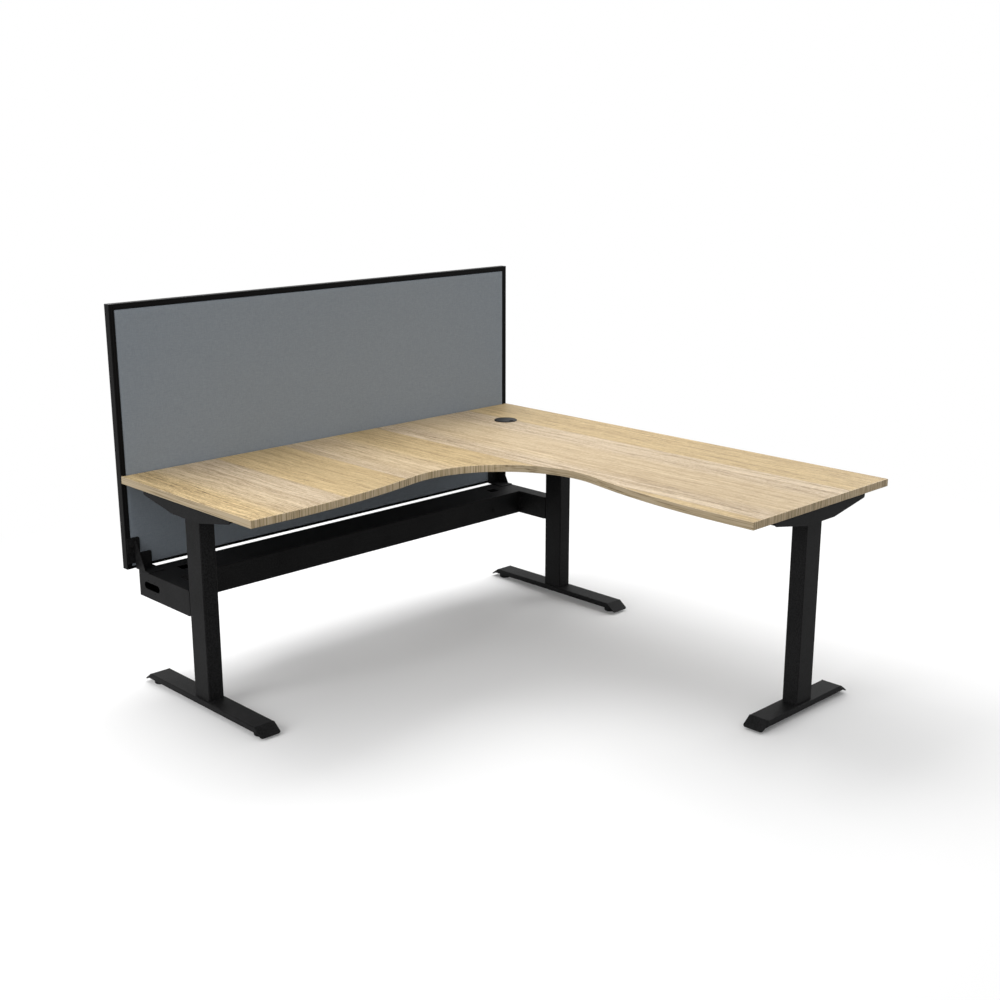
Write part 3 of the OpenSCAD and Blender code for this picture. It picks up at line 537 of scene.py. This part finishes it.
meshValues = {
    "merge": 0.00001,                  # metres between points that are one
    "flat": 0.3,                       # degrees between faces that are one
    "sharp": 30,                       # degrees from which an edge can be rounded
    "smooth": 32,                      # degrees up to which shading runs on over an edge
    "facing": 0.5,                     # share of a normal from which it counts as facing that way
}


def addPiece(name, bm, finish, smoothAngle=meshValues["smooth"]):
    mesh = bpy.data.meshes.new(name)
    bm.to_mesh(mesh)
    bm.free()
    piece = bpy.data.objects.new(name, mesh)
    bpy.context.scene.collection.objects.link(piece)
    mesh.materials.append(finishes[finish])
    mesh.polygons.foreach_set("use_smooth", [True] * len(mesh.polygons))
    mesh.set_sharp_from_angle(angle=math.radians(smoothAngle))
    return piece


def mergedCopy(nodeName):
    bm = bmesh.new()
    bm.from_mesh(nodes[nodeName].data)
    bmesh.ops.remove_doubles(bm, verts=bm.verts, dist=meshValues["merge"])
    bmesh.ops.dissolve_limit(bm, angle_limit=math.radians(meshValues["flat"]), verts=bm.verts, edges=bm.edges)
    return bm


def sharpEdges(bm, reach):
    # sharp edges in chains longer than reach, so bolt holes and other small rims stay crisp
    least = math.radians(meshValues["sharp"])
    sharp = [e for e in bm.edges if len(e.link_faces) == 2 and e.calc_face_angle(0) > least]
    touching = {}
    for edge in sharp:
        for vert in edge.verts:
            touching.setdefault(vert, []).append(edge)
    seen = set()
    chosen = []
    for edge in sharp:
        if edge in seen:
            continue
        chain, ends = [], [edge]
        seen.add(edge)
        while ends:
            here = ends.pop()
            chain.append(here)
            for vert in here.verts:
                for other in touching[vert]:
                    if other not in seen:
                        seen.add(other)
                        ends.append(other)
        points = [v.co for e in chain for v in e.verts]
        size = max(max(p[i] for p in points) - min(p[i] for p in points) for i in range(3))
        if size > reach:
            chosen.extend(chain)
    return chosen


def rounded(bm, edges, width, segments=2):
    if edges:
        bmesh.ops.bevel(bm, geom=edges, offset=width, offset_type="OFFSET", segments=segments, profile=0.5,
                        affect="EDGES", clamp_overlap=False, material=-1)


def settle(piece, body, replaced):
    keep = piece.modifiers.new("flatFaces", "WEIGHTED_NORMAL")
    keep.keep_sharp = True
    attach(piece, body)
    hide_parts(replaced)


# Worktop

worktopValues = {
    "reach": 0.2,                      # shorter chains of edges stay crisp
    "standsOff": 0.001,                # more than this from the board is the outer side
    "outerRadius": 0.0012,
    "segments": 3,
}


def makeWorktop():
    v = worktopValues
    bm = mergedCopy("worktop")
    board = BVHTree.FromBMesh(bm)
    settle(addPiece("worktopBoard", bm, "oak_laminate"), "workstation", "worktop")
    bm = mergedCopy("edge_band")
    # the band's outer rims stand off the board by its thickness, the inner ones touch it
    rims = [e for e in sharpEdges(bm, v["reach"])
            if any(abs(f.normal.z) > meshValues["facing"] for f in e.link_faces)]
    outer = [e for e in rims
             if board.find_nearest((e.verts[0].co + e.verts[1].co) / 2)[3] > v["standsOff"]]
    rounded(bm, outer, v["outerRadius"], v["segments"])
    settle(addPiece("worktopEdging", bm, "oak_edging"), "workstation", "edge_band")


makeWorktop()
print("worktop made")


# Steel

steelValues = {
    "reach": 0.03,                     # shorter chains of edges stay crisp
    "oneLevel": 0.0002,                # what still counts as the same height
    "feet": ("left_foot", "corner_foot", "return_foot"),
    "footRadius": 0.0005,
    "foldAngles": (0.4, 0.9),          # of the bend at a foot's tongue, in radians
    "foldLength": 0.02,                # metres, and the bend is longer than this
    "foldRadius": 0.0022, "foldSegments": 3,
    "shortest": 0.004,                 # a foot's shorter edges stay crisp,
    "bendZone": 0.0065,                # and so do all that reach this near to its upper face
    "radii": {"left_top_bracket": 0.0005, "corner_top_bracket": 0.0005, "return_top_bracket": 0.0005,
              "beam_front": 0.0004, "beam_left_end": 0.0004, "beam_right_end": 0.0004,
              "beam_rear_cover": 0.0004, "left_screen_bracket": 0.0005, "right_screen_bracket": 0.0005,
              "beam_flanges": 0.0006},
    "sheets": {"beam_top": 1, "beam_bottom": -1},    # the side whose rims are rounded, up or down
    "cornerRadius": 0.0011, "cornerSegments": 3,
}


def addSteel(name, bm):
    settle(addPiece(name + "_formed", bm, "black_steel"), "workstation", name)


def makeFeet():
    v = steelValues
    least, most = v["foldAngles"]
    for name in v["feet"]:
        bm = mergedCopy(name)
        high = max(vert.co.z for vert in bm.verts)
        folds = [e for e in bm.edges if len(e.link_faces) == 2 and least < e.calc_face_angle(0) < most
                 and all(abs(vert.co.z - high) < v["oneLevel"] for vert in e.verts)
                 and e.calc_length() > v["foldLength"]]
        rounded(bm, folds, v["foldRadius"], v["foldSegments"])
        rounded(bm, [e for e in sharpEdges(bm, v["reach"]) if e.calc_length() > v["shortest"]
                     and all(vert.co.z < high - v["bendZone"] for vert in e.verts)], v["footRadius"])
        addSteel(name, bm)


def makeBracketsAndBeam():
    v = steelValues
    for name, radius in v["radii"].items():
        bm = mergedCopy(name)
        rounded(bm, sharpEdges(bm, v["reach"]), radius)
        addSteel(name, bm)
    for name, side in v["sheets"].items():
        bm = mergedCopy(name)
        face = max(side * vert.co.z for vert in bm.verts)
        rim = [e for e in sharpEdges(bm, v["reach"])
               if all(abs(side * vert.co.z - face) < v["oneLevel"] for vert in e.verts)
               and any(abs(f.normal.z) < meshValues["facing"] for f in e.link_faces)]
        rounded(bm, rim, v["cornerRadius"], v["cornerSegments"])
        addSteel(name, bm)


makeFeet()
makeBracketsAndBeam()
print("steel made")


# Grommet

grommetValues = {
    "reach": 0.01,                     # shorter chains of edges stay crisp
    "lidRadius": 0.0005,
    "segments": 3,
}


def makeGrommet():
    v = grommetValues
    bm = mergedCopy("grommet_lid")
    rounded(bm, sharpEdges(bm, v["reach"]), v["lidRadius"], v["segments"])
    lid = addPiece("grommetLid", bm, "black_plastic")
    lid.data.materials[0] = makePlastic("greyBlackPlastic", lidValues)
    settle(lid, "lid", "grommet_lid")


makeGrommet()
print("grommet made")


# Screen fabric

fabricValues = {
    "roll": 0.0035,                    # radius where the cloth turns in at its edges
    "turnIn": 0.0015,
    "thick": 0.0007,
    "columns": 120, "rows": 60,
    "edgeRows": 4,                     # narrow ones, which follow the turn
    "rippleReach": 0.06,               # metres from the edge
    "ripple": 0.00018, "rippleAcross": 71.0, "rippleUp": 57.0,
    "smooth": 80,                      # degrees
}


def makeFabric(name, nodeName, facing):
    v = fabricValues
    low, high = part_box(nodeName)
    face = low.y if facing < 0 else high.y
    width, height = high.x - low.x, high.z - low.z
    roll, turnIn, edgeRows = v["roll"], v["turnIn"], v["edgeRows"]
    arc = roll * math.pi / 2
    edgeSteps = [arc + turnIn] + [arc * k / (edgeRows - 1) for k in range(edgeRows - 1, 0, -1)]

    def flatPlace(index, count, straight):
        # the rows that don't follow the turn share the flat part
        if index < edgeRows:
            return -(straight + edgeSteps[index])
        if index > count - edgeRows:
            return straight + edgeSteps[count - index]
        return -straight + 2 * straight * (index - edgeRows) / (count - 2 * edgeRows)

    def fold(along, half):
        # how far across and how far back a point of the flat cloth comes to lie
        reach = abs(along)
        straight = half - roll
        sign = 1 if along >= 0 else -1
        if reach <= straight:
            return along, 0.0
        bend = (reach - straight) / roll
        if bend <= math.pi / 2:
            return sign * (straight + roll * math.sin(bend)), roll * (1 - math.cos(bend))
        return sign * half, roll + (reach - straight - arc)

    bm = bmesh.new()
    bmesh.ops.create_grid(bm, x_segments=v["columns"], y_segments=v["rows"], size=0.5)
    for vert in bm.verts:
        column, row = round((vert.co.x + 0.5) * v["columns"]), round((vert.co.y + 0.5) * v["rows"])
        x, backX = fold(flatPlace(column, v["columns"], width / 2 - roll), width / 2)
        z, backZ = fold(flatPlace(row, v["rows"], height / 2 - roll), height / 2)
        nearEdge = min(width / 2 - abs(x), height / 2 - abs(z))
        pull = max(0.0, 1 - nearEdge / v["rippleReach"]) * v["ripple"]
        wave = math.sin(x * v["rippleAcross"]) * math.sin(z * v["rippleUp"]) * pull
        depth = max(backX, backZ) + max(0.0, wave)
        vert.co = ((low.x + high.x) / 2 + x, face - facing * depth, (low.z + high.z) / 2 + z)
    bmesh.ops.recalc_face_normals(bm, faces=bm.faces)
    if sum(f.normal.y * f.calc_area() for f in bm.faces) * facing < 0:
        bmesh.ops.reverse_faces(bm, faces=bm.faces)
    piece = addPiece(name, bm, "grey_fabric", v["smooth"])
    shell = piece.modifiers.new("clothThickness", "SOLIDIFY")
    shell.thickness = v["thick"]
    shell.offset = -1
    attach(piece, "workstation")
    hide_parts(nodeName)


makeFabric("frontCloth", "front_fabric", -1)
makeFabric("rearCloth", "rear_fabric", 1)
print("fabric made")


# Floor, lamps and world

floorValues = {
    "radius": 12.0, "segments": 96,
    "colour": 0.95,
    "bounced": 0.14,                   # how bright it is to bounced light
    "fadeSpan": (0.9, 3.2),            # metres from the middle, over which it turns white
    "fade": (0.04, 1.0),
    "middle": (0.25, -0.25, 0.0),
}


def makeFloor():
    v = floorValues
    bm = bmesh.new()
    bmesh.ops.create_circle(bm, cap_ends=True, segments=v["segments"], radius=v["radius"])
    mesh = bpy.data.meshes.new("studioFloor")
    bm.to_mesh(mesh)
    bm.free()
    floor = bpy.data.objects.new("studioFloor", mesh)
    bpy.context.scene.collection.objects.link(floor)
    material = bpy.data.materials.new("paleFloor")
    material.use_nodes = True
    tree = material.node_tree
    tree.nodes.clear()
    output = tree.nodes.new("ShaderNodeOutputMaterial")
    seen = tree.nodes.new("ShaderNodeBsdfDiffuse")
    seen.inputs["Color"].default_value = (v["colour"], v["colour"], v["colour"], 1)
    bounced = tree.nodes.new("ShaderNodeBsdfDiffuse")
    bounced.inputs["Color"].default_value = (v["bounced"], v["bounced"], v["bounced"], 1)
    white = tree.nodes.new("ShaderNodeEmission")
    white.inputs["Strength"].default_value = 1.0
    length = tree.nodes.new("ShaderNodeVectorMath")
    length.operation = "DISTANCE"
    tree.links.new(objectPlace(tree), length.inputs[0])
    length.inputs[1].default_value = v["middle"]
    far = spread(tree, length.outputs["Value"], v["fadeSpan"], v["fade"], True)
    both = mixShader(tree, seenDirectly(tree), bounced, mixShader(tree, far, seen, white))
    tree.links.new(both.outputs[0], output.inputs["Surface"])
    mesh.materials.append(material)


lampValues = {
    "overhead": {"place": (0.0, 2.4, 4.4), "size": 2.2, "power": 66.0},
    "overheadRight": {"place": (1.9, 1.9, 4.2), "size": 2.0, "power": 48.0},
    "rearBank": {"place": (-0.3, 3.6, 3.6), "size": 3.0, "power": 42.0},
    "leftBank": {"place": (-5.0, 0.0, 2.2), "size": 3.0, "power": 107.0},
    "rightBank": {"place": (5.0, 0.0, 2.6), "size": 3.0, "power": 66.0},
}
lampAim = Vector((0.0, 0.0, 0.5))


def makeLamps():
    for name, lamp in lampValues.items():
        data = bpy.data.lights.new(name, "AREA")
        data.shape = "SQUARE"
        data.size = lamp["size"]
        data.energy = lamp["power"]
        light = bpy.data.objects.new(name, data)
        light.location = lamp["place"]
        light.rotation_euler = (lampAim - Vector(lamp["place"])).to_track_quat("-Z", "Y").to_euler()
        bpy.context.scene.collection.objects.link(light)


worldValues = {
    "sky": 0.637,                      # strength of the light that falls in from all sides
    "shown": 1.0,
}


def makeWorld():
    world = bpy.data.worlds.new("studioWorld")
    world.use_nodes = True
    tree = world.node_tree
    tree.nodes.clear()
    output = tree.nodes.new("ShaderNodeOutputWorld")
    backgrounds = []
    for strength in (worldValues["sky"], worldValues["shown"]):
        background = tree.nodes.new("ShaderNodeBackground")
        background.inputs["Color"].default_value = (1, 1, 1, 1)
        background.inputs["Strength"].default_value = strength
        backgrounds.append(background)
    both = mixShader(tree, seenDirectly(tree), *backgrounds)
    tree.links.new(both.outputs[0], output.inputs["Surface"])
    bpy.context.scene.world = world


makeFloor()
makeLamps()
makeWorld()
bpy.context.scene.view_settings.view_transform = "Standard"
print("studio made")
